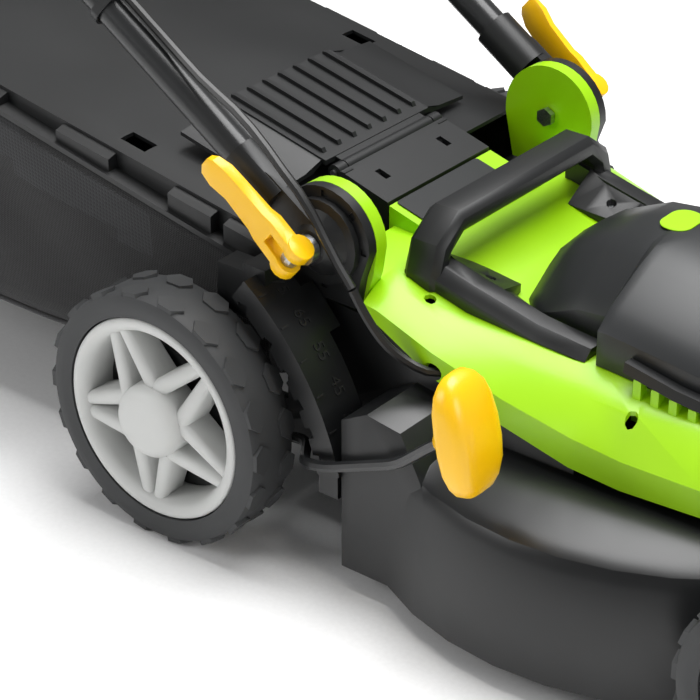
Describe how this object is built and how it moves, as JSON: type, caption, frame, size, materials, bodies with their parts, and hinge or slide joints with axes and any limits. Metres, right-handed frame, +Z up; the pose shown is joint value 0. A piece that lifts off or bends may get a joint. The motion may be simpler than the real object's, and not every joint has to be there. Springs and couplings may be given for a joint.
{
  "type": "push lawn mower",
  "caption": "Electric rotary push mower: moulded deck, ribbed cover, star wheels, folding tube handle with bail, rear grass bag and height lever.",
  "frame": {"origin": "centre of the bounding box's base, on the floor", "axes": "+Z up, +X forwards along the mower towards the front wheels, -Y the side with the height lever"},
  "size_m": [1.356, 0.501, 0.9697],
  "materials": {
    "deck": "satin",
    "cover": "gloss",
    "motor_cover": "satin",
    "black": "satin",
    "steel": "satin",
    "painted_tube": "satin",
    "rim": "satin",
    "tyre": "matte",
    "yellow": "satin",
    "fabric": "matte",
    "foam": "matte",
    "cable": "satin",
    "blade": "satin",
    "red": "gloss",
    "laminations": "satin"
  },
  "bodies": {
    "mower": {"deck_shell": "deck", "top_cover": "cover", "carry_handle": "black", "motor_cover": "motor_cover", "vent_trim_right": "black", "vent_trim_left": "black", "motor_housing": "laminations", "motor_end_cap": "black", "motor_bearing": "steel", "brake_circuit_box": "black", "height_quadrant": "deck", "rear_bridge": "black", "flap_hinge_rod": "steel", "handle_post_right": "black", "handle_post_left": "black", "cable_tail": "cable"},
    "blade_set": {"motor_shaft": "laminations", "blade_adapter": "black", "blade": "blade", "blade_washer": "steel", "blade_bolt": "steel"},
    "rear_crank": {"rear_axle": "steel", "height_lever_rod": "black", "height_lever_knob": "yellow"},
    "front_crank": {"front_axle": "steel"},
    "height_link": {"height_link_rod": "steel"},
    "rear_flap": {"rear_flap": "black"},
    "grass_bag": {"bag_fabric": "fabric", "bag_lid": "black", "bag_grip": "black"},
    "lower_handle": {"handle_bracket_right": "black", "handle_bracket_left": "black", "lower_tube_right": "painted_tube", "lower_tube_left": "painted_tube", "handle_bolt_right": "steel", "handle_bolt_left": "steel", "upper_bolt_right": "steel", "upper_bolt_left": "steel", "cable_lower": "cable"},
    "upper_handle": {"upper_handle_tube": "painted_tube", "grip_sleeve": "foam", "switch_box": "black", "mains_inlet": "black", "cord_hook": "black", "cable_upper": "cable"},
    "safety_button": {"safety_button": "red"},
    "bail_lever": {"bail_lever": "yellow"},
    "rear_wheel_right": {"rear_wheel_rim_right": "rim", "rear_tyre_right": "tyre"},
    "rear_wheel_left": {"rear_wheel_rim_left": "rim", "rear_tyre_left": "tyre"},
    "front_wheel_right": {"front_wheel_rim_right": "rim", "front_tyre_right": "tyre"},
    "front_wheel_left": {"front_wheel_rim_left": "rim", "front_tyre_left": "tyre"},
    "clamp_lower_right": {"clamp_lever_lower_right": "yellow"},
    "clamp_lower_left": {"clamp_lever_lower_left": "yellow"},
    "clamp_upper_right": {"clamp_lever_upper_right": "yellow"},
    "clamp_upper_left": {"clamp_lever_upper_left": "yellow"}
  },
  "joints": [
    {"name": "height_set", "type": "hinge", "parent": "mower", "child": "rear_crank", "pos_m": [0.10536, 0.0045, 0.08], "axis": [0, -1, 0], "range_deg": [0, 68.5]},
    {"name": "front_height", "type": "hinge", "parent": "mower", "child": "front_crank", "pos_m": [0.62538, 0.0045, 0.062], "axis": [0, -1, 0], "range_deg": [0, 68.5]},
    {"name": "link_swing", "type": "hinge", "parent": "rear_crank", "child": "height_link", "pos_m": [0.14897, 0.1715, 0.14467], "axis": [0, -1, 0], "range_deg": [-70, 0]},
    {"name": "rear_wheel_spin_right", "type": "hinge", "parent": "rear_crank", "child": "rear_wheel_right", "pos_m": [0.06535, -0.208, 0.1], "axis": [0, 1, 0], "continuous": true},
    {"name": "rear_wheel_spin_left", "type": "hinge", "parent": "rear_crank", "child": "rear_wheel_left", "pos_m": [0.06535, 0.217, 0.1], "axis": [0, 1, 0], "continuous": true},
    {"name": "front_wheel_spin_right", "type": "hinge", "parent": "front_crank", "child": "front_wheel_right", "pos_m": [0.58539, -0.208, 0.082], "axis": [0, 1, 0], "continuous": true},
    {"name": "front_wheel_spin_left", "type": "hinge", "parent": "front_crank", "child": "front_wheel_left", "pos_m": [0.58539, 0.217, 0.082], "axis": [0, 1, 0], "continuous": true},
    {"name": "blade_spin", "type": "hinge", "parent": "mower", "child": "blade_set", "pos_m": [0.36535, 0.0045, 0.06], "axis": [0, 0, 1], "continuous": true},
    {"name": "flap_swing", "type": "hinge", "parent": "mower", "child": "rear_flap", "pos_m": [0.09535, 0.0045, 0.2415], "axis": [0, 1, 0], "range_deg": [0, 75]},
    {"name": "bag_draw", "type": "slide", "parent": "mower", "child": "grass_bag", "axis": [-0.9816, 0, 0.1908], "range_m": [0, 0.15]},
    {"name": "handle_fold", "type": "hinge", "parent": "mower", "child": "lower_handle", "pos_m": [0.15435, 0.0045, 0.2385], "axis": [0, 1, 0], "range_deg": [0, 95], "deforming": ["cable_lower"]},
    {"name": "upper_fold", "type": "hinge", "parent": "lower_handle", "child": "upper_handle", "pos_m": [-0.24544, 0.0045, 0.50413], "axis": [0, 1, 0], "range_deg": [0, 75], "deforming": ["cable_upper"]},
    {"name": "clamp_turn_lower_right", "type": "hinge", "parent": "lower_handle", "child": "clamp_lower_right", "pos_m": [0.15435, -0.1763, 0.2385], "axis": [0.6428, 0, 0.766], "range_deg": [0, 90]},
    {"name": "clamp_turn_lower_left", "type": "hinge", "parent": "lower_handle", "child": "clamp_lower_left", "pos_m": [0.15435, 0.1853, 0.2385], "axis": [-0.6428, 0, -0.766], "range_deg": [0, 90]},
    {"name": "clamp_turn_upper_right", "type": "hinge", "parent": "lower_handle", "child": "clamp_upper_right", "pos_m": [-0.24544, -0.1649, 0.50413], "axis": [0.6428, 0, 0.766], "range_deg": [0, 90]},
    {"name": "clamp_turn_upper_left", "type": "hinge", "parent": "lower_handle", "child": "clamp_upper_left", "pos_m": [-0.24544, 0.1739, 0.50413], "axis": [-0.6428, 0, -0.766], "range_deg": [0, 90]},
    {"name": "button_press", "type": "slide", "parent": "upper_handle", "child": "safety_button", "axis": [-0.7193, 0, -0.6947], "range_m": [0, 0.005], "stiffness_N_per_m": 600, "springref_m": -0.002},
    {"name": "bail_pull", "type": "hinge", "parent": "upper_handle", "child": "bail_lever", "pos_m": [-0.59484, 0.0045, 0.86596], "axis": [0, -1, 0], "range_deg": [0, 34], "stiffness_Nm_per_rad": 0.9, "springref_deg": -28.65}
  ],
  "couplings": [
    {"joint": "front_height", "follows": "height_set", "ratio": 1},
    {"joint": "link_swing", "follows": "height_set", "ratio": -1}
  ]
}
